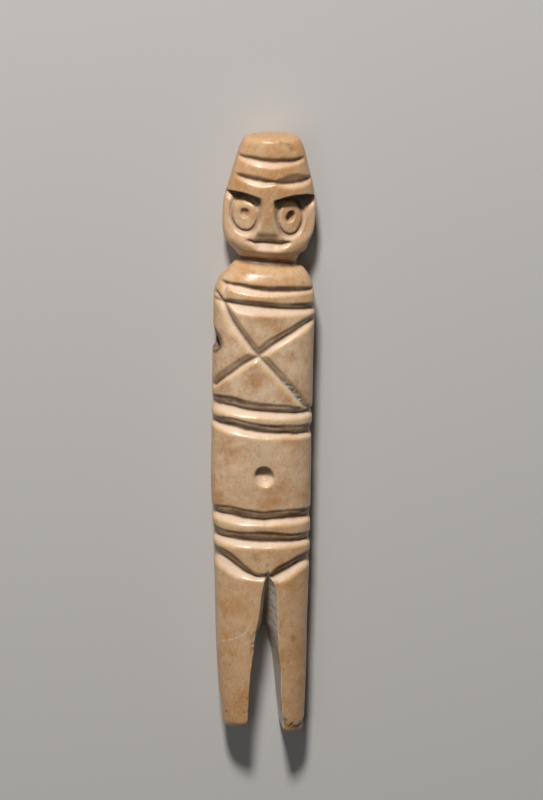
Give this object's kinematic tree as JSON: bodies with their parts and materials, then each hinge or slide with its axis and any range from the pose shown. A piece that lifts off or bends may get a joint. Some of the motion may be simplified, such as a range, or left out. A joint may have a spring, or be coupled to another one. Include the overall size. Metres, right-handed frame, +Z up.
{
  "type": "carved bone amulet",
  "caption": "Slim carved bone figure with a ring-and-dot face, grooved bands, a crossed chest and forked legs, for wearing or display.",
  "frame": {"origin": "middle of the bounding box at the flat back, on the surface it lies on", "axes": "+X towards the viewer's right of the face, +Y towards the head, +Z up, out of the face"},
  "size_m": [0.0148, 0.09, 0.0081],
  "materials": {
    "compact_bone": "hand-polished old bone, golden tan with darker grooves and paler worn edges"
  },
  "bodies": {
    "root": {"bone_figure": "compact_bone"}
  },
  "joints": []
}
